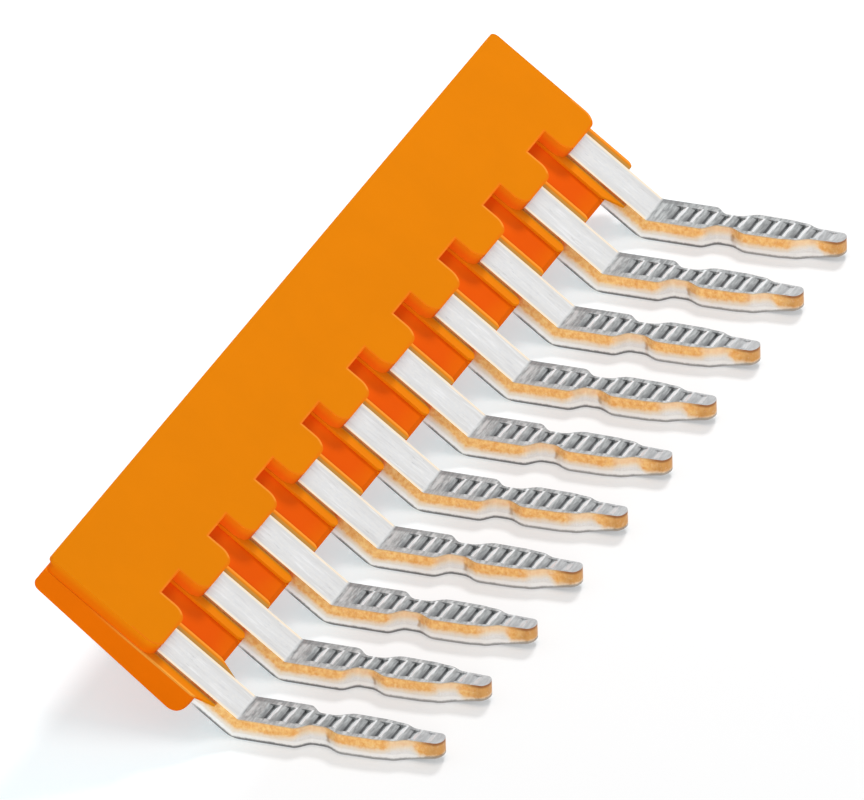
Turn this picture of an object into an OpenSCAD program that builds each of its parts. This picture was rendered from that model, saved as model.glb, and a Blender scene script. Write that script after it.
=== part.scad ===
// Plug-in comb jumper for rail-mounted terminal blocks.
// One stamped comb links all the poles. Its spine lies between a moulded base and a
// moulded cover, and its prongs come out below the tabs of the cover and bend upwards.
// Sizes in millimetres. The bent ends of the prongs are level and lie on Z = 0, their
// tips point to -Y, and the housing climbs towards +Y.

/* [Poles] */
// Number of prongs
poles = 10; // [3:1:14]
// Distance from one prong to the next
pitch = 8; // [7.4:0.1:10]

/* [Comb] */
// Width of a prong where it leaves the housing
prong_w = 3.2; // [2.8:0.05:3.4]
// Thickness of the strip that the comb is stamped from
metal_t = 1.4; // [1.1:0.05:1.45]
// Length of a prong from the cover's tab to the bend
flat_len = 6.6; // [5.8:0.1:9]
// Length of a prong from the bend to the tip
bent_len = 13.3; // [12.9:0.1:16]
// Angle between the two lengths of a prong
bend_deg = 37; // [15:1:55]
// Radius inside the bend
bend_r = 0.35; // [0.2:0.05:0.6]
// Width of the waist in the bent length
waist_w = 1.66; // [1.4:0.02:2.2]
// Width of the contact area beyond the waist
contact_w = 2.84; // [2.4:0.02:3.1]
// Width of the neck before the tip
neck_w = 1.5; // [1.2:0.05:1.8]
// How much thinner the strip is at the tip
lead_in = 0.4; // [0.1:0.05:0.6]
// Width of the spine that joins the prongs
spine_w = 3.6; // [3:0.1:4]

/* [Grip grooves] */
// Grooves across the bent length of each prong
grooves = 11; // [4:1:11]
// Distance from the bend to the first groove
groove_first = 1.52; // [1.2:0.02:1.6]
// Distance from one groove to the next
groove_step = 1.065; // [0.9:0.005:1.07]
// Depth of a groove
groove_depth = 0.22; // [0.1:0.01:0.3]
// Length of a groove across the prong
groove_len = 1.9; // [1.2:0.05:2]

/* [Housing] */
// Depth of the cover from its back edge to the tab edges
cover_depth = 8.92; // [8.6:0.02:11]
// Height of the cover above the top of the metal
cover_rise = 0.74; // [0.6:0.02:1.2]
// Width of a tab of the cover
tab_w = 4.92; // [4.6:0.02:5]
// Radius of the front corners of a tab
tab_r = 1.0; // [0.4:0.05:1.4]
// Radius of the back corners of the cover
back_r = 0.5; // [0.2:0.05:1]
// Depth of the notches between the tabs
notch_depth = 2.16; // [1.6:0.02:2.2]
// How far the cover's top edge stands past the wall below it, at the back
back_lip = 0.22; // [0.1:0.02:0.4]
// Thickness of that top edge
lip_t = 0.32; // [0.2:0.02:0.5]
// Width over the two ribs that flank a prong
finger_w = 5.16; // [4.8:0.02:5.2]
// Distance from the tab edges to the front of the base
front_len = 3.7; // [3:0.05:4.2]
// How far the top of the ribs lies below the top of the metal
rib_drop = 0.15; // [0.1:0.01:0.3]
// Height of the ribs above the floor between them
rib_h = 0.2; // [0.1:0.01:0.4]
// Underside of the base below the top of the metal, at its back
under_back = 1.68; // [1.66:0.02:2.2]
// Underside of the base below the top of the metal, at its front
under_front = 2.12; // [1.9:0.02:2.5]
// Radius of the front foot of the base
foot_r = 1.0; // [0.6:0.05:1.4]
// Radius of the back foot of the base
heel_r = 0.55; // [0.3:0.05:0.8]
// Radius of the front corners of the base beside each prong
tongue_r = 0.6; // [0.3:0.05:0.9]
// Length of the bevel at the front of the floor
floor_bevel = 0.3; // [0.2:0.05:0.8]

/* [Fit] */
// Clearance between the comb and the housing, on each side
fit_gap = 0.05; // [0.03:0.01:0.08]

/* [Hidden] */
$fn = 48;

// Rib and floor levels, from the top of the metal
rib_z = -rib_drop;
floor_z = rib_z - rib_h;

// The spine lies behind the notches with a wall between them
spine_wall = 0.6;
spine_front = notch_depth + spine_wall;
spine_back = spine_front + spine_w;

// Half of the row of prongs, of the comb, the cover and the base
row_half = (poles - 1) * pitch / 2;
comb_half = row_half + prong_w / 2;
cover_half = row_half + tab_w / 2;
base_half = row_half + finger_w / 2;
base_back = cover_depth - back_lip;

// Width of the notches in the cover and of the floor between the ribs
notch_w = pitch - tab_w;
floor_w = pitch - finger_w;

// Place of the whole in Y, which centres it between the tips and the heel of the base
back_reach = (flat_len + base_back - heel_r) * cos(bend_deg)
    + (under_back - heel_r) * sin(bend_deg) + heel_r;
shift_y = (bent_len - back_reach) / 2;

// Half width of the bent length along it: each row is [distance from the bend, half width]
tip_r = 0.5;
stations = [
    [0.7, prong_w / 2],
    [3.7, prong_w / 2],
    [4.75, waist_w / 2],
    [5.5, waist_w / 2],
    [6.9, contact_w / 2],
    [8.9, contact_w / 2 - 0.04],
    [10.1, (contact_w + neck_w) / 4 + 0.14],
    [11.2, neck_w / 2 + 0.03],
    [bent_len - tip_r, neck_w / 2 - 0.04]
];
ease_steps = 6;
function ease(a, b, t) = a + (b - a) * (1 - cos(180 * t)) / 2;
function leg(k) = [for (j = [0 : ease_steps - 1])
    [ease(stations[k][0], stations[k + 1][0], 0) + (stations[k + 1][0] - stations[k][0]) * j / ease_steps,
     ease(stations[k][1], stations[k + 1][1], j / ease_steps)]];
tip_half = stations[len(stations) - 1][1];
edge = concat(
    [for (k = [0 : len(stations) - 2]) for (p = leg(k)) p],
    [for (a = [0 : 15 : 90]) [bent_len - tip_r + tip_r * sin(a), tip_half * cos(a)]]
);

// Half width at a given distance, between the two nearest stations
function half_at(s, k = 0) =
    s < stations[0][0] ? stations[0][1] :
    k >= len(stations) - 1 ? tip_half :
    s <= stations[k + 1][0] ?
        ease(stations[k][1], stations[k + 1][1],
             (s - stations[k][0]) / (stations[k + 1][0] - stations[k][0])) :
    half_at(s, k + 1);

// Repeats its children at every pole
module each_pole() {
    for (i = [0 : poles - 1])
        translate([i * pitch - row_half, 0, 0])
            children();
}

// Repeats its children between neighbouring poles
module each_gap() {
    for (i = [0 : poles - 2])
        translate([(i + 0.5) * pitch - row_half, 0, 0])
            children();
}

// From the housing's own plane to the level bent ends: in that plane Y = 0 is the tab
// edge, +Y is the back, and Z = 0 is the top of the metal
module sloped() {
    translate([0, shift_y, metal_t])
        rotate([bend_deg, 0, 0])
            translate([0, flat_len, 0])
                children();
}

// The same for what lies level, with the bend line at Y = 0 and the metal's top at Z = 0
module level() {
    translate([0, shift_y, metal_t])
        children();
}

// Draws a side view along X, centred, w wide
module across(w) {
    translate([-w / 2, 0, 0])
        rotate([90, 0, 90])
            linear_extrude(w)
                children();
}

// Points of an arc about c with radius r from angle a to angle b
function arc(c, r, a, b) = [for (j = [0 : 8]) c + r * [cos(a + (b - a) * j / 8), sin(a + (b - a) * j / 8)]];

// Side view of the strip from the spine to just beyond the bend, with the bend line at [0, 0]
module strip_side() {
    centre = [-bend_r * tan(bend_deg / 2), bend_r];
    back = (flat_len + spine_front + 0.5) * [cos(bend_deg), sin(bend_deg)];
    polygon(concat(
        [[-0.75, 0]],
        arc(centre, bend_r, -90, bend_deg - 90),
        [back, back + metal_t * [sin(bend_deg), -cos(bend_deg)]],
        arc(centre, bend_r + metal_t, bend_deg - 90, -90),
        [[-0.75, -metal_t]]
    ));
}

// Bent length of one prong beyond the bend, seen from above
module prong_plan() {
    polygon(concat(
        [for (p = edge) [p[1], -p[0]]],
        [for (i = [len(edge) - 2 : -1 : 0]) [-edge[i][1], -edge[i][0]]]
    ));
}

// One grip groove: a short dip, then a steep drop, then a shallow climb towards the tip.
// The last ones before the tip are fainter.
module groove(s) {
    half = min(groove_len / 2, half_at(s) - 0.2);
    fade = min(1, (bent_len - s) / 3.4);
    across(2 * half)
        polygon([
            [-s + 0.4, 0.05],
            [-s + 0.4, 0],
            [-s + 0.08, -groove_depth * fade * 0.35],
            [-s, -groove_depth * fade],
            [-s - 0.08, -groove_depth * fade],
            [-s - 0.42, 0],
            [-s - 0.42, 0.05]
        ]);
}

module prong() {
    level() {
        across(prong_w)
            strip_side();
        difference() {
            translate([0, 0, -metal_t])
                linear_extrude(metal_t)
                    prong_plan();
            for (i = [0 : grooves - 1])
                groove(groove_first + i * groove_step);
            across(pitch)
                polygon([
                    [-bent_len + 2.4, -metal_t],
                    [-bent_len - 0.1, -metal_t - 0.1],
                    [-bent_len - 0.1, -metal_t + lead_in]
                ]);
        }
    }
}

module comb() {
    color("silver") {
        each_pole()
            prong();
        sloped()
            translate([-comb_half, spine_front, -metal_t])
                cube([2 * comb_half, spine_w, metal_t]);
    }
}

// Side view of the base up to the floor
module base_side() {
    polygon(concat(
        [[base_back, floor_z], [-front_len, floor_z]],
        arc([-front_len + foot_r, -under_front + foot_r], foot_r, 180, 270),
        arc([base_back - heel_r, -under_back + heel_r], heel_r, 270, 360)
    ));
}

// A square corner less the quarter circle inside it, with the corner at the origin
module corner_cut(r) {
    difference() {
        translate([-1, -1])
            square(r + 1);
        translate([r, r])
            circle(r);
    }
}

// The two front corners of a piece w wide whose front edge is at y
module front_corners(w, y, r) {
    for (m = [0, 1])
        mirror([m, 0])
            translate([-w / 2, y])
                corner_cut(r);
}

// Plan of the ribs and of the strip behind the notches
rib_r = 0.45;
module rib_plan() {
    difference() {
        translate([-base_half, -front_len])
            square([2 * base_half, front_len + base_back]);
        each_gap()
            translate([-floor_w / 2, -front_len - 1])
                square([floor_w, front_len + 1 + notch_depth]);
        each_pole()
            front_corners(finger_w, -front_len, rib_r);
    }
}

// Short pointed nose in front of a rib: m is -1 or 1 for its side of the prong
nose_len = 1.3;
nose_h = 0.16;
module nose(i, m) {
    translate([i * pitch - row_half, 0, rib_z - nose_h])
        linear_extrude(nose_h)
            polygon([
                [m * (prong_w / 2 + fit_gap), -front_len + rib_r],
                [m * finger_w / 2, -front_len + rib_r],
                [m * finger_w / 2, -front_len + 0.3],
                [m * (prong_w / 2 + fit_gap + 0.12), -front_len - nose_len],
                [m * (prong_w / 2 + fit_gap), -front_len - nose_len]
            ]);
}

// Room for the comb in the housing, from z = a up to z = b
module comb_room(a, b) {
    each_pole()
        translate([-prong_w / 2 - fit_gap, -front_len - 2, a])
            cube([prong_w + 2 * fit_gap, front_len + 2 + spine_front + 1, b - a]);
    translate([-comb_half - fit_gap, spine_front - fit_gap, a])
        cube([2 * (comb_half + fit_gap), spine_w + 2 * fit_gap, b - a]);
}

module base() {
    color("darkorange")
        sloped() {
            difference() {
                union() {
                    intersection() {
                        across(2 * base_half)
                            base_side();
                        translate([0, 0, -under_front - 1])
                            linear_extrude(under_front + 1)
                                difference() {
                                    translate([-base_half, -front_len])
                                        square([2 * base_half, front_len + base_back]);
                                    front_corners(2 * base_half, -front_len, rib_r);
                                    each_pole()
                                        translate([-prong_w / 2 - fit_gap, -front_len - 1])
                                            square([prong_w + 2 * fit_gap, 1 + tongue_r]);
                                }
                    }
                    translate([0, 0, floor_z])
                        linear_extrude(rib_h)
                            rib_plan();
                }
                comb_room(-metal_t, 1);
                translate([0, 0, -under_front - 1])
                    linear_extrude(under_front + 2)
                        each_gap()
                            front_corners(pitch - prong_w - 2 * fit_gap, -front_len, tongue_r);
                each_gap()
                    across(floor_w)
                        polygon([
                            [-front_len + floor_bevel, floor_z],
                            [-front_len + floor_bevel, floor_z + 0.1],
                            [-front_len - 0.1, floor_z + 0.1],
                            [-front_len - 0.1, floor_z - floor_bevel * 0.6]
                        ]);
            }
            nose(0, -1);
            nose(0, 1);
            nose(poles - 1, -1);
        }
}

// Plan of the cover, with its back edge at y
module cover_plan(y) {
    difference() {
        translate([-cover_half, 0])
            square([2 * cover_half, y]);
        each_gap()
            translate([-notch_w / 2, -1])
                square([notch_w, notch_depth + 1]);
        each_pole()
            front_corners(tab_w, 0, tab_r);
        for (m = [0, 1])
            mirror([m, 0])
                translate([-cover_half, y])
                    mirror([0, 1])
                        corner_cut(back_r);
    }
}

module cover() {
    color("orange")
        sloped()
            difference() {
                union() {
                    translate([0, 0, cover_rise - lip_t])
                        linear_extrude(lip_t)
                            cover_plan(cover_depth);
                    translate([0, 0, rib_z])
                        linear_extrude(cover_rise - rib_z)
                            cover_plan(base_back);
                }
                comb_room(rib_z - 1, fit_gap);
            }
}

comb();
base();
cover();
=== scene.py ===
import math

import bpy
from mathutils import Matrix, Vector

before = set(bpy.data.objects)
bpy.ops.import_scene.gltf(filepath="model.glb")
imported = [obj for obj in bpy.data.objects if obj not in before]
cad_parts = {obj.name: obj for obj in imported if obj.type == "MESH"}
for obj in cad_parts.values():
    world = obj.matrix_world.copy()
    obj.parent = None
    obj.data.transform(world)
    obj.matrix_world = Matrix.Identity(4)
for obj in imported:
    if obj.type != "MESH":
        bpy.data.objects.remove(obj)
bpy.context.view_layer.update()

# Sizes shared with the solids, in millimetres
BEND = math.radians(37.0)
FLAT = 6.6  # from the bend to the front of the tabs
METAL = 1.4  # thickness of the prongs
SHIFT_Y = 0.145  # Y of the bend
PITCH = 8.0
ROW_HALF = 36.0  # X of the last prong
RIB_Z = -0.15  # top of the ribs, from the upper face of the metal
TAB_HALF = 2.46  # half the width of a tab
TAB_R = 1.0  # radius of its corners
NOTCH = 2.16  # depth of the notches, from the front of the tabs
GROOVE_FIRST = 1.52  # drop of the first groove, from the bend
GROOVE_STEP = 1.065

# Colours of the plastic: the face, and painted light and shade for its walls, floors and edges
FACE = (0.768, 0.218, 0.001, 1.0)
WALL = (0.99, 0.196, 0.001, 1.0)
OCHRE_SHADE = (0.48, 0.26, 0.06, 1.0)
RIM_HIGHLIGHT_LEFT = (0.86, 0.225, 0.006, 1.0)
RIM_HIGHLIGHT_RIGHT = (0.98, 0.34, 0.04, 1.0)
RECESS_SHADE_MIDDLE = (0.78, 0.097, 0.002, 1.0)
RECESS_SHADE_BACK = (0.98, 0.150, 0.006, 1.0)
RECESS_SHADE_FRONT = (0.78, 0.126, 0.0015, 1.0)
GAP_SHADE = (0.62, 0.085, 0.0005, 1.0)
SHORT_WALL = (0.86, 0.20, 0.01, 1.0)
SHORT_WALL_LEFT = (0.88, 0.31, 0.006, 1.0)
WALL_LEFT = (0.88, 0.26, 0.003, 1.0)
END_EDGE_HIGHLIGHT = (1.0, 0.42, 0.06, 1.0)
NOTCH_SHADING_LOW = (0.88, 0.12, 0.004, 1.0)
NOTCH_SHADING_HIGH = (0.88, 0.17, 0.004, 1.0)
NOTCH_SHADING_LEFT_LOW = (0.96, 0.20, 0.008, 1.0)
NOTCH_SHADING_LEFT_HIGH = (0.98, 0.30, 0.008, 1.0)
OUTER_SHADING_LOW = (0.98, 0.200, 0.0015, 1.0)
OUTER_SHADING_HIGH = (0.99, 0.275, 0.003, 1.0)
EDGE_SHADE_FRONT = (0.80, 0.17, 0.004, 1.0)
EDGE_HIGHLIGHT_RIGHT = (0.99, 0.32, 0.045, 1.0)
EDGE_HIGHLIGHT_BACK = (0.86, 0.19, 0.009, 1.0)

# Colours of the cut sides of the metal
COPPER_PALE = (1.0, 0.64, 0.25, 1.0)
COPPER = (0.86, 0.40, 0.105, 1.0)
COPPER_TIP = (0.58, 0.28, 0.085, 1.0)
ROLLED_DIM = (0.83, 0.80, 0.77, 1.0)
ROLLED = (0.92, 0.90, 0.88, 1.0)
ROLLED_LINE = (1.0, 0.985, 0.96, 1.0)
HALO = (0.94, 0.74, 0.52, 1.0)
CREASE_SHADOW = (0.40, 0.22, 0.09, 1.0)
UNDER_SHADE_LINE = (0.13, 0.13, 0.135, 1.0)
CREST = (0.50, 0.40, 0.28, 1.0)
SILL_LIGHT = (1.0, 0.80, 0.48, 1.0)
BURR = (0.30, 0.11, 0.04, 1.0)

# Colours of its upper faces: painted reflection on the flat length, painted shade on the bent
# one, painted shade and highlights in the grooves
FLAT_COOL = (0.76, 0.765, 0.775, 1.0)
FLAT_WARM = (0.815, 0.81, 0.80, 1.0)
FLAT_SIDES = (0.70, 0.69, 0.68, 1.0)
DRAWN_LIGHT = (0.94, 0.94, 0.95, 1.0)
DRAWN_DARK = (0.60, 0.59, 0.60, 1.0)
RUBBED = (0.42, 0.42, 0.43, 1.0)
LIP_HIGHLIGHT = (1.0, 0.87, 0.68, 1.0)
BENT_SHADE_DARK = (0.27, 0.28, 0.285, 1.0)
BENT_SHADE_LIGHT = (0.58, 0.60, 0.60, 1.0)
BENT_SHADE_TIP = (0.66, 0.66, 0.67, 1.0)
LEFT_EDGE = (0.56, 0.56, 0.55, 1.0)
RIGHT_EDGE_SHADE = (0.22, 0.22, 0.225, 1.0)
BEND_ROLL = (0.74, 0.75, 0.75, 1.0)
GROOVE_DIP_SHADE = (0.09, 0.093, 0.097, 1.0)
GROOVE_DROP_SHADE = (0.05, 0.05, 0.053, 1.0)
GROOVE_HIGHLIGHT = (0.96, 0.985, 1.0, 1.0)
GROOVE_WING = (0.85, 0.85, 0.85, 1.0)
FOLD_HIGHLIGHT = (0.90, 0.90, 0.90, 1.0)
PIT = (0.5, 0.48, 0.47, 1.0)

# Floor and background, lengths in metres
STAGE_GREY = (0.65, 0.65, 0.65, 1.0)
GLOW_BY_PRONGS = (0.285, 0.288, 0.29, 1.0)
GLOW_BY_HOUSING = (0.420, 0.500, 0.525, 1.0)
WHITE = (1.0, 1.0, 1.0, 1.0)
STAGE_HALF = 3.0
STAGE_GAP = 0.00002
WORLD_LIGHT = 0.52
WORLD_SEEN = 1.0

# Camera fitted to the photo, in metres
CAM_LENS = 991.94
CAM_RIGHT = (0.3624, -0.93163, -0.02719)
CAM_AHEAD = (0.82153, 0.33308, -0.46277)
CAM_PLACE = (-1.248741, -0.504700, 0.708457)

# ---------------------------------------------------------------- node helpers


class Graph:
    """Short calls for one material's nodes."""

    def __init__(self, name):
        self.mat = bpy.data.materials.new(name)
        self.mat.use_nodes = True
        self.tree = self.mat.node_tree
        self.tree.nodes.clear()
        self.out = self.add("ShaderNodeOutputMaterial")

    def add(self, kind, **props):
        n = self.tree.nodes.new(kind)
        for k, v in props.items():
            setattr(n, k, v)
        return n

    def link(self, a, b):
        self.tree.links.new(a, b)

    def put(self, socket, value):
        if isinstance(value, bpy.types.NodeSocket):
            self.link(value, socket)
        elif value is not None:
            socket.default_value = value

    def math(self, op, a, b=None, c=None):
        n = self.add("ShaderNodeMath", operation=op)
        for i, v in enumerate((a, b, c)):
            self.put(n.inputs[i], v)
        return n.outputs[0]

    def mul(self, a, b):
        return self.math("MULTIPLY", a, b)

    def plus(self, a, b):
        return self.math("ADD", a, b)

    def minus(self, a, b):
        return self.math("SUBTRACT", a, b)

    def most(self, a, b):
        return self.math("MAXIMUM", a, b)

    def over(self, a, b):
        return self.math("GREATER_THAN", a, b)

    def size(self, a):
        return self.math("ABSOLUTE", a)

    def shift(self, a, factor, base):
        return self.math("MULTIPLY_ADD", a, factor, base)

    def step(self, value, lo, hi, a=0.0, b=1.0):
        """Smooth step of value from lo to hi, giving a to b."""
        n = self.add("ShaderNodeMapRange", interpolation_type="SMOOTHSTEP", clamp=True)
        for i, v in enumerate((value, lo, hi, a, b)):
            self.put(n.inputs[i], v)
        return n.outputs[0]

    def band(self, value, lo, hi, soft):
        """1 between lo and hi, 0 outside, with soft edges."""
        up = self.step(value, lo - soft, lo + soft)
        down = self.step(value, hi - soft, hi + soft, 1.0, 0.0)
        return self.mul(up, down)

    def mix(self, fac, a, b):
        n = self.add("ShaderNodeMix", data_type="RGBA", clamp_factor=True)
        self.put(n.inputs[0], fac)
        self.put(n.inputs[6], a)
        self.put(n.inputs[7], b)
        return n.outputs[2]

    def noise(self, vector, scale, detail=2.0, rough=0.5):
        n = self.add("ShaderNodeTexNoise", noise_dimensions="3D")
        self.link(vector, n.inputs["Vector"])
        n.inputs["Scale"].default_value = scale
        n.inputs["Detail"].default_value = detail
        n.inputs["Roughness"].default_value = rough
        return n.outputs["Fac"]

    def place(self):
        """Object position in millimetres: (vector, x, y, z)."""
        tc = self.add("ShaderNodeTexCoord")
        m = self.add("ShaderNodeVectorMath", operation="SCALE")
        self.link(tc.outputs["Object"], m.inputs[0])
        m.inputs["Scale"].default_value = 1000.0
        s = self.add("ShaderNodeSeparateXYZ")
        self.link(m.outputs[0], s.inputs[0])
        return tc, m.outputs[0], s.outputs[0], s.outputs[1], s.outputs[2]

    def slope(self, y, z):
        """The same point in the housing's plane: (towards the back, above the metal)."""
        yy = self.minus(y, SHIFT_Y)
        zz = self.minus(z, METAL)
        sin, cos = math.sin(BEND), math.cos(BEND)
        v = self.plus(self.mul(yy, cos), self.mul(zz, sin))
        w = self.plus(self.mul(yy, -sin), self.mul(zz, cos))
        return self.minus(v, FLAT), w

    def local(self, x):
        """Distance across from the middle of the nearest prong."""
        return self.math("WRAP", self.minus(x, PITCH / 2), PITCH / 2, -PITCH / 2)

    def dot(self, vector, direction):
        n = self.add("ShaderNodeVectorMath", operation="DOT_PRODUCT")
        self.link(vector, n.inputs[0])
        n.inputs[1].default_value = direction
        return n.outputs["Value"]

    def bump(self, height, strength, distance):
        n = self.add("ShaderNodeBump")
        n.inputs["Strength"].default_value = strength
        n.inputs["Distance"].default_value = distance
        self.link(height, n.inputs["Height"])
        return n.outputs[0]

    def shader(self, **sockets):
        n = self.add("ShaderNodeBsdfPrincipled")
        for k, v in sockets.items():
            self.put(n.inputs[k.replace("_", " ")], v)
        self.link(n.outputs[0], self.out.inputs[0])


UP_SLOPE = (0.0, -math.sin(BEND), math.cos(BEND))

# ---------------------------------------------------------------- materials


def orange(name, is_base):
    """Plastic of the base, or else of the cover."""
    g = Graph(name)
    tc, pos, x, y, z = g.place()
    v, w = g.slope(y, z)
    normal = tc.outputs["Normal"]
    facing = g.dot(normal, UP_SLOPE)
    nx = g.dot(normal, (1.0, 0.0, 0.0))
    left = g.step(nx, -0.6, -0.2, 1.0, 0.0)
    up = g.step(facing, 0.35, 0.97)
    if is_base:
        # Painted shade and reflected metal colour: the rib tops fade to ochre beside the metal;
        # painted shade: the floor between them is redder
        local = g.local(x)
        across = g.size(local)
        right = g.over(local, 0.0)
        ochre_shade = g.step(across, g.shift(right, 0.35, 1.65), g.shift(right, 0.45, 1.9), 1.0, 0.0)
        top = g.mix(g.mul(ochre_shade, 0.9), FACE, OCHRE_SHADE)
        # Painted highlight along the outer edges of the rib tops, strong on the +X side, mild on
        # the -X side
        rim = g.step(across, g.shift(right, 0.35, 1.9), g.shift(right, 0.35, 2.1))
        light = g.mix(right, RIM_HIGHLIGHT_LEFT, RIM_HIGHLIGHT_RIGHT)
        top = g.mix(g.mul(rim, 0.8), top, light)
        low = g.step(w, RIB_Z - 0.14, RIB_Z - 0.05, 1.0, 0.0)
        # Painted shade on the floor between the ribs: redder than the face, lighter towards the
        # back and the front, along a noisy border
        stray = g.minus(g.noise(pos, 0.5, 2.0), 0.5)
        drift = g.plus(v, g.mul(stray, 1.2))
        floor = g.mix(g.step(drift, -0.8, 2.4), RECESS_SHADE_MIDDLE, RECESS_SHADE_BACK)
        floor = g.mix(g.step(drift, -3.5, -2.0, 1.0, 0.0), floor, RECESS_SHADE_FRONT)
        # A thin shade runs beside the ribs on their +X side
        shade = g.mul(g.band(local, 2.45, 2.95, 0.12), 0.5)
        floor = g.mix(shade, floor, GAP_SHADE)
        top = g.mix(low, top, floor)
        # Painted light on the walls: walls are redder, the short ones below the ribs least of
        # all, and lighter where they face -X
        rise = g.step(w, RIB_Z - 0.22, RIB_Z - 0.02)
        short = g.mix(left, SHORT_WALL, SHORT_WALL_LEFT)
        side = g.mix(left, WALL, WALL_LEFT)
        side = g.mix(g.mul(rise, 0.85), side, short)
        end = g.over(g.size(x), ROW_HALF + 2.2)
        side = g.mix(end, side, WALL)
        colour = g.mix(up, side, top)
        # Painted highlight: the upper edge of the end wall shows as a fine bright line
        edge = g.band(w, RIB_Z - 0.12, RIB_Z + 0.02, 0.03)
        edge = g.mul(g.step(x, -38.50, -38.38, 1.0, 0.0), edge)
        edge = g.mul(edge, g.step(v, 0.2, 5.5, 0.9, 0.0))
        colour = g.mix(edge, colour, END_EDGE_HIGHLIGHT)
    else:
        # Painted light and shade on the walls: those inside the notches are redder than the two
        # end walls, and all are painted lighter towards the top, the notch walls also where they
        # face -X
        end = g.over(g.size(x), ROW_HALF + 2.0)
        rise = g.step(w, 0.0, 0.74)
        inner = g.mix(rise, NOTCH_SHADING_LOW, NOTCH_SHADING_HIGH)
        inner = g.mix(left, inner, g.mix(rise, NOTCH_SHADING_LEFT_LOW, NOTCH_SHADING_LEFT_HIGH))
        outer = g.mix(g.step(w, 0.15, 0.74), OUTER_SHADING_LOW, OUTER_SHADING_HIGH)
        colour = g.mix(up, g.mix(end, inner, outer), FACE)
        # Painted light on the rounded edges of the tabs: a bright painted highlight towards +X,
        # a redder painted shade in front, and a redder painted highlight behind the notches
        local = g.local(x)
        beside = g.most(g.minus(g.size(local), TAB_HALF - TAB_R), 0.0)
        ahead = g.most(g.minus(TAB_R, v), 0.0)
        square = g.plus(g.mul(beside, beside), g.mul(ahead, ahead))
        reach = g.math("SQRT", square)
        edge_band = g.mul(g.step(reach, TAB_R - 0.24, TAB_R - 0.10), g.step(facing, 0.9, 0.99))
        edge_band = g.mul(edge_band, g.step(v, NOTCH + 0.02, NOTCH + 0.14, 1.0, 0.0))
        turn = g.math("DIVIDE", beside, g.most(reach, 0.01))
        bright = g.mul(g.step(turn, 0.45, 0.8), g.over(local, 0.0))
        streaks_and_edge_light = g.mix(bright, EDGE_SHADE_FRONT, EDGE_HIGHLIGHT_RIGHT)
        colour = g.mix(g.mul(edge_band, 0.7), colour, streaks_and_edge_light)
        # Painted highlight along the rounded back edge of each notch
        back = g.mul(g.band(v, NOTCH - 0.02, NOTCH + 0.14, 0.03), g.step(facing, 0.9, 0.99))
        back = g.mul(back, g.over(g.size(local), TAB_HALF - 0.1))
        inner_gap = g.math("LESS_THAN", g.size(x), ROW_HALF + TAB_HALF - 0.3)
        back = g.mul(back, inner_gap)
        colour = g.mix(g.mul(back, 0.7), colour, EDGE_HIGHLIGHT_BACK)
    cloud = g.noise(pos, 0.22, 3.0, 0.6)
    grain = g.noise(pos, 7.0, 3.0, 0.65)
    n = g.add("ShaderNodeHueSaturation")
    g.link(colour, n.inputs["Color"])
    g.link(g.step(cloud, 0.3, 0.7, 0.985, 1.015), n.inputs["Value"])
    g.shader(
        Base_Color=n.outputs[0],
        Roughness=g.step(grain, 0.2, 0.8, 0.42, 0.52),
        Specular_IOR_Level=0.02,
        Normal=g.bump(grain, 0.10, 0.00003),
    )
    return g.mat


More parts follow.
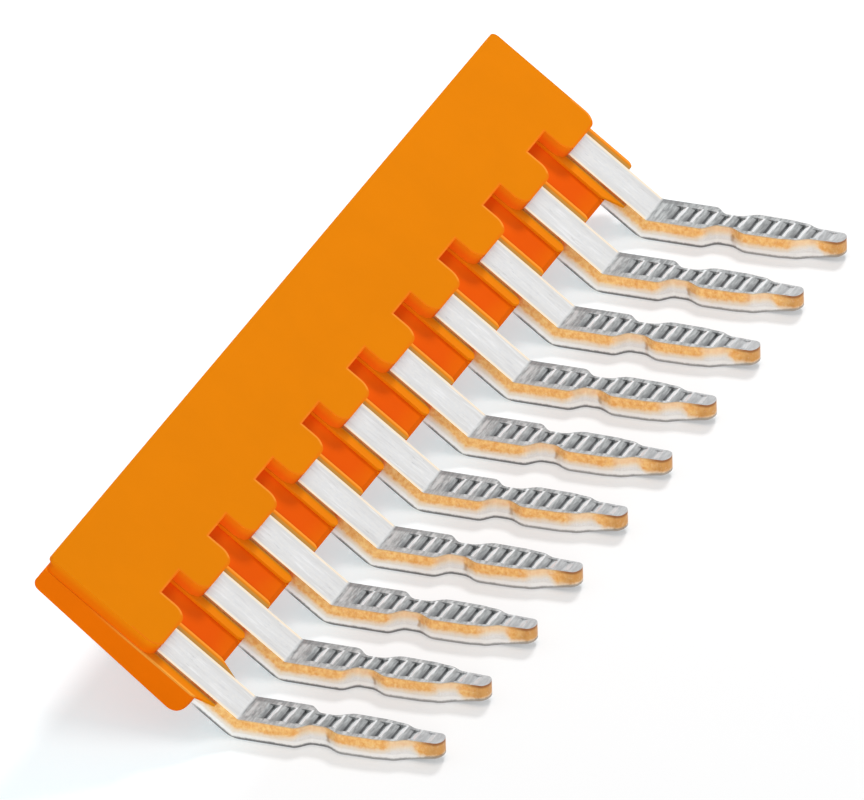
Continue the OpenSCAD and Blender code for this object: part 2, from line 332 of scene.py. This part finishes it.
def tinned():
    """Tinned copper: s runs from the bend to the tip, depth down from the upper face."""
    g = Graph("tinned_copper")
    tc, pos, x, y, z = g.place()
    _, w = g.slope(y, z)
    normal = tc.outputs["Normal"]
    nx = g.dot(normal, (1.0, 0.0, 0.0))
    ny = g.dot(normal, (0.0, 1.0, 0.0))
    s = g.minus(SHIFT_Y, y)
    level = g.step(s, -0.12, 0.05)
    local = g.local(x)
    across = g.size(local)
    depth = g.most(g.minus(METAL, z), g.mul(w, -1.0))
    wander = g.noise(pos, 0.55, 3.0, 0.6)
    fine = g.noise(pos, 3.2, 4.0, 0.7)
    tiny = g.noise(pos, 12.0, 3.0, 0.7)
    w0 = g.minus(wander, 0.5)
    f0 = g.minus(fine, 0.5)

    # Cut sides: the outer walls and the end of the tip, not the walls of the grooves
    outward = g.over(g.mul(nx, local), 0.45)
    tip = g.mul(g.over(-0.55, ny), g.over(s, 12.7))
    side = g.most(outward, tip)

    # How far down the copper shows, along the prong: bare at the two wide places and the tip,
    # dragged over with tin at the waist and before the tip
    d = g.plus(s, w0)
    rim = g.plus(0.74, g.step(d, 3.3, 4.3, 0.0, -0.30))
    rim = g.plus(rim, g.step(d, 5.5, 5.8, 0.0, 0.30))
    rim = g.plus(rim, g.step(d, 9.6, 10.4, 0.0, -0.30))
    rim = g.plus(rim, g.step(d, 11.2, 12.0, 0.0, 0.48))
    rim = g.plus(rim, g.mul(w0, 0.35))
    rim = g.plus(rim, g.mul(f0, 0.25))
    past = g.minus(depth, rim)
    bare = g.step(past, -0.20, 0.10, 1.0, 0.0)
    halo = g.step(past, -0.05, 0.40, 1.0, 0.0)
    pale = g.most(g.band(d, 3.9, 5.6, 0.3), g.band(d, 9.9, 11.5, 0.4))
    bare = g.mul(bare, g.minus(1.0, g.mul(pale, 0.55)))
    speck = g.step(g.noise(pos, 5.0, 3.0, 0.75), 0.54, 0.68)
    bare = g.mul(bare, g.minus(1.0, g.mul(speck, 0.25)))
    copper = g.mix(g.step(fine, 0.3, 0.7), COPPER_PALE, COPPER)
    copper = g.mix(g.step(s, 11.6, 13.1, 0.0, 0.8), copper, COPPER_TIP)
    rolled = g.mix(g.step(tiny, 0.3, 0.7), ROLLED_DIM, ROLLED)
    rolled = g.mix(g.band(depth, 0.98, 1.30, 0.06), rolled, ROLLED_LINE)
    sides = g.mix(g.mul(halo, 0.9), rolled, HALO)
    sides = g.mix(bare, sides, copper)
    # Painted shadow line on the side at the crease near s 5.7, from mid depth down
    crease_shadow = g.mul(g.band(d, 5.62, 5.85, 0.1), g.band(depth, 0.5, 1.0, 0.12))
    sides = g.mix(g.mul(crease_shadow, 0.6), sides, CREASE_SHADOW)
    # Painted shade: a dark line along the lower edge of the sides, for the shaded rounding of
    # the underside and the contact shadow
    thin = g.mul(g.step(s, 10.9, 13.3), 0.38)
    lower = g.plus(g.plus(depth, thin), g.mul(f0, 0.14))
    under_shade = g.step(lower, METAL - 0.22, METAL - 0.08)
    along = g.mul(g.step(s, -3.4, -2.4, 0.0, 0.85), g.step(s, 5.6, 6.8, 1.0, 0.75))
    under_shade = g.mul(under_shade, along)
    sides = g.mix(under_shade, sides, UNDER_SHADE_LINE)
    crest = g.mul(g.step(depth, 0.03, 0.12, 1.0, 0.0), level)
    sides = g.mix(g.mul(crest, 0.45), sides, CREST)
    # Painted light: the top strip of the sides deep in the housing is painted cream against the
    # shade beside the ribs
    sill_light = g.mul(g.step(depth, 0.10, 0.20, 0.8, 0.0), g.step(s, -2.9, -3.2))
    sides = g.mix(sill_light, sides, SILL_LIGHT)
    burr = g.mul(g.step(depth, 0.08, 0.26, 1.0, 0.0), g.step(s, 11.4, 12.8, 0.0, 0.85))
    burr = g.most(burr, g.mul(tip, g.step(local, 0.3, 0.6, 0.0, 0.7)))
    sides = g.mix(burr, sides, BURR)

    # Upper faces, lit and shaded copies of one tin: painted reflection makes the flat length
    # bright, painted shade makes the bent one dark and streaked across
    streak = g.add("ShaderNodeMapping")
    g.link(pos, streak.inputs["Vector"])
    streak.inputs["Scale"].default_value = (0.7, 3.5, 1.0)
    streaks = g.noise(streak.outputs[0], 1.6, 4.0, 0.7)
    bright = g.mix(g.step(fine, 0.3, 0.7), FLAT_COOL, FLAT_WARM)
    bright = g.mix(g.step(across, 0.45, 1.1, 0.0, 0.5), bright, FLAT_SIDES)
    brush = g.add("ShaderNodeMapping")
    g.link(pos, brush.inputs["Vector"])
    brush.inputs["Scale"].default_value = (4.0, 0.5, 0.5)
    drawn = g.noise(brush.outputs[0], 0.9, 3.0, 0.6)
    bright = g.mix(g.step(drawn, 0.52, 0.72, 0.0, 0.6), bright, DRAWN_LIGHT)
    bright = g.mix(g.step(drawn, 0.30, 0.46, 0.35, 0.0), bright, DRAWN_DARK)
    rubbed = g.step(g.noise(brush.outputs[0], 2.2, 3.0, 0.7), 0.60, 0.68)
    rubbed = g.mul(rubbed, g.step(wander, 0.50, 0.60))
    bright = g.mix(g.mul(rubbed, 0.45), bright, RUBBED)
    # Painted highlight along the rounded edges of the flat tops
    lip = g.step(across, 1.28, 1.46)
    bright = g.mix(g.mul(lip, 0.9), bright, LIP_HIGHLIGHT)
    shaded_bent_tops = g.mix(g.step(streaks, 0.32, 0.68), BENT_SHADE_DARK, BENT_SHADE_LIGHT)
    shaded_bent_tops = g.mix(g.mul(g.step(s, 9.8, 12.5), 0.5), shaded_bent_tops, BENT_SHADE_TIP)
    # The -X edge of the bent tops is painted lighter; painted shade darkens the +X edge near the
    # bend
    near = g.step(local, -1.45, -1.0, 0.4, 0.0)
    shaded_bent_tops = g.mix(near, shaded_bent_tops, LEFT_EDGE)
    dusk = g.mul(g.step(local, 0.95, 1.2), g.step(s, 1.2, 2.4, 0.6, 0.1))
    shaded_bent_tops = g.mix(dusk, shaded_bent_tops, RIGHT_EDGE_SHADE)
    roll = g.mul(g.band(s, 0.28, 0.52, 0.06), g.step(across, 0.8, 1.2, 0.6, 0.0))
    shaded_bent_tops = g.mix(roll, shaded_bent_tops, BEND_ROLL)
    # Grooves, in painted shade and painted highlight: each dips slowly into painted shade, drops
    # into the darkest painted shade and climbs back with a painted highlight, counted from its
    # drop to the tip
    inside = g.step(across, 0.99, 1.05, 1.0, 0.0)
    phase = g.math("WRAP", g.minus(s, GROOVE_FIRST), GROOVE_STEP / 2, -GROOVE_STEP / 2)
    weak = g.step(s, 10.3, 12.2, 1.0, 0.35)
    streaks_and_edge_light = g.step(streaks, 0.3, 0.6, 0.5, 1.0)
    rows = g.mul(g.step(s, 0.95, 1.05), g.step(s, 12.4, 12.6, 1.0, 0.0))
    dip = g.mul(g.step(phase, -0.40, -0.12, 0.25, 1.0), g.step(phase, -0.04, 0.02, 1.0, 0.0))
    dip = g.mul(dip, g.step(local, -0.7, 0.4, 0.8, 0.3))
    dip = g.mul(g.mul(dip, inside), rows)
    shaded_bent_tops = g.mix(g.mul(dip, g.mul(weak, streaks_and_edge_light)), shaded_bent_tops, GROOVE_DIP_SHADE)
    drop = g.mul(g.step(ny, -0.7, -0.5, 0.75, 0.0), inside)
    shaded_bent_tops = g.mix(g.mul(drop, weak), shaded_bent_tops, GROOVE_DROP_SHADE)
    climb = g.mul(g.step(ny, 0.12, 0.25), inside)
    after = g.mul(g.band(phase, 0.34, 0.50, 0.04), g.step(local, -0.5, 0.3, 0.2, 0.75))
    after = g.mul(g.mul(after, inside), rows)
    broken = g.mul(weak, g.step(streaks, 0.25, 0.5, 0.8, 1.0))
    groove_highlight = g.mul(g.most(climb, after), broken)
    shaded_bent_tops = g.mix(groove_highlight, shaded_bent_tops, GROOVE_HIGHLIGHT)
    wing = g.mul(g.band(phase, 0.08, 0.36, 0.06), g.band(across, 0.95, 1.35, 0.08))
    shaded_bent_tops = g.mix(g.mul(g.mul(wing, rows), 0.4), shaded_bent_tops, GROOVE_WING)
    tops = g.mix(level, bright, shaded_bent_tops)
    # Painted highlight along the bend
    fold = g.band(s, -0.10, 0.05, 0.05)
    tops = g.mix(g.mul(fold, 0.35), tops, FOLD_HIGHLIGHT)
    vor = g.add("ShaderNodeTexVoronoi", feature="F1")
    g.link(pos, vor.inputs["Vector"])
    vor.inputs["Scale"].default_value = 0.8
    ragged = g.plus(vor.outputs["Distance"], g.mul(f0, 0.15))
    pit = g.mul(g.step(ragged, 0.06, 0.16, 1.0, 0.0), g.step(wander, 0.5, 0.58))
    tops = g.mix(g.mul(pit, 0.15), tops, PIT)

    colour = g.mix(side, tops, sides)
    height = g.plus(g.mul(fine, 0.7), g.mul(tiny, 0.3))
    g.shader(
        Base_Color=colour,
        Metallic=g.minus(0.85, g.mul(groove_highlight, 0.85)),
        Roughness=g.step(fine, 0.25, 0.75, 0.32, 0.46),
        Normal=g.bump(height, 0.2, 0.00004),
    )
    return g.mat


def finish_node(name, material):
    """Put one material on every slot of a CAD node."""
    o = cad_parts[name]
    if not o.material_slots:
        o.data.materials.append(material)
    for slot in o.material_slots:
        slot.material = material


finish_node("cover", orange("orange_cover", False))
finish_node("base", orange("orange_base", True))
finish_node("comb", tinned())

# ---------------------------------------------------------------- stage

floor_mesh = bpy.data.meshes.new("floor")
corners = [(-1, -1), (1, -1), (1, 1), (-1, 1)]
floor_mesh.from_pydata(
    [(STAGE_HALF * a, STAGE_HALF * b, 0.0) for a, b in corners], [], [(0, 1, 2, 3)]
)
floor_obj = bpy.data.objects.new("floor", floor_mesh)
floor_obj.location.z = -STAGE_GAP
bpy.context.scene.collection.objects.link(floor_obj)

g = Graph("floor")
diffuse = g.add("ShaderNodeBsdfDiffuse")
diffuse.inputs["Color"].default_value = STAGE_GREY
glow = g.add("ShaderNodeEmission")
path = g.add("ShaderNodeLightPath")
seen = g.most(path.outputs["Is Glossy Ray"], path.outputs["Is Transmission Ray"])
seen = g.most(path.outputs["Is Camera Ray"], seen)
here = g.add("ShaderNodeTexCoord")
far = g.add("ShaderNodeVectorMath", operation="LENGTH")
g.link(here.outputs["Object"], far.inputs[0])
parts = g.add("ShaderNodeSeparateXYZ")
g.link(here.outputs["Object"], parts.inputs[0])
by_housing = g.step(parts.outputs[1], -0.004, 0.003)
# Painted glow: the white of the background, dimmed around the object so that its shadows show,
# and brighter and bluer by the housing so that the orange-tinged shadows there turn grey
tint = g.mix(by_housing, GLOW_BY_PRONGS, GLOW_BY_HOUSING)
tint = g.mix(g.step(far.outputs["Value"], 0.045, 0.22), tint, WHITE)
g.link(tint, glow.inputs["Color"])
g.link(seen, glow.inputs["Strength"])
both = g.add("ShaderNodeAddShader")
g.link(diffuse.outputs[0], both.inputs[0])
g.link(glow.outputs[0], both.inputs[1])
g.link(both.outputs[0], g.out.inputs[0])
floor_mesh.materials.append(g.mat)

world = bpy.data.worlds.new("world")
bpy.context.scene.world = world
world.use_nodes = True
world_tree = world.node_tree
world_tree.nodes.clear()
out = world_tree.nodes.new("ShaderNodeOutputWorld")
path = world_tree.nodes.new("ShaderNodeLightPath")
bg = world_tree.nodes.new("ShaderNodeBackground")
bg.inputs["Color"].default_value = WHITE
mirrored = world_tree.nodes.new("ShaderNodeMath")
mirrored.operation = "MAXIMUM"
world_tree.links.new(path.outputs["Is Camera Ray"], mirrored.inputs[0])
world_tree.links.new(path.outputs["Is Glossy Ray"], mirrored.inputs[1])
shown = world_tree.nodes.new("ShaderNodeMath")
shown.operation = "MAXIMUM"
world_tree.links.new(mirrored.outputs[0], shown.inputs[0])
world_tree.links.new(path.outputs["Is Transmission Ray"], shown.inputs[1])
level = world_tree.nodes.new("ShaderNodeMapRange")
world_tree.links.new(shown.outputs[0], level.inputs["Value"])
level.inputs["To Min"].default_value = WORLD_LIGHT
level.inputs["To Max"].default_value = WORLD_SEEN
world_tree.links.new(level.outputs[0], bg.inputs["Strength"])
world_tree.links.new(bg.outputs[0], out.inputs["Surface"])


def area(name, where, size, power):
    """A round lamp that looks at the origin."""
    light = bpy.data.lights.new(name, "AREA")
    light.shape = "DISK"
    light.size = size
    light.energy = power
    o = bpy.data.objects.new(name, light)
    o.location = where
    o.rotation_mode = "QUATERNION"
    o.rotation_quaternion = (-Vector(where)).to_track_quat("-Z", "Y")
    o.visible_glossy = False
    bpy.context.scene.collection.objects.link(o)


# Place and width in metres, power in watts
area("overhead", (0.05, -0.02, 0.55), 0.25, 0.65)
area("back", (0.36, 0.03, 0.34), 0.10, 1.25)
area("side", (-0.50, -0.22, 0.13), 0.25, 0.75)

# ---------------------------------------------------------------- camera

cam_data = bpy.data.cameras.new("camera")
cam_data.lens = CAM_LENS
cam_data.sensor_width = 36.0
cam_data.clip_start = 0.05
cam_data.clip_end = 20.0
cam = bpy.data.objects.new("camera", cam_data)
right = Vector(CAM_RIGHT).normalized()
ahead = Vector(CAM_AHEAD).normalized()
up = right.cross(ahead).normalized()
right = ahead.cross(up).normalized()
m = Matrix((right, up, -ahead)).transposed().to_4x4()
m.translation = Vector(CAM_PLACE)
cam.matrix_world = m
bpy.context.scene.collection.objects.link(cam)
bpy.context.scene.camera = cam

view = bpy.context.scene.view_settings
view.view_transform = "Standard"
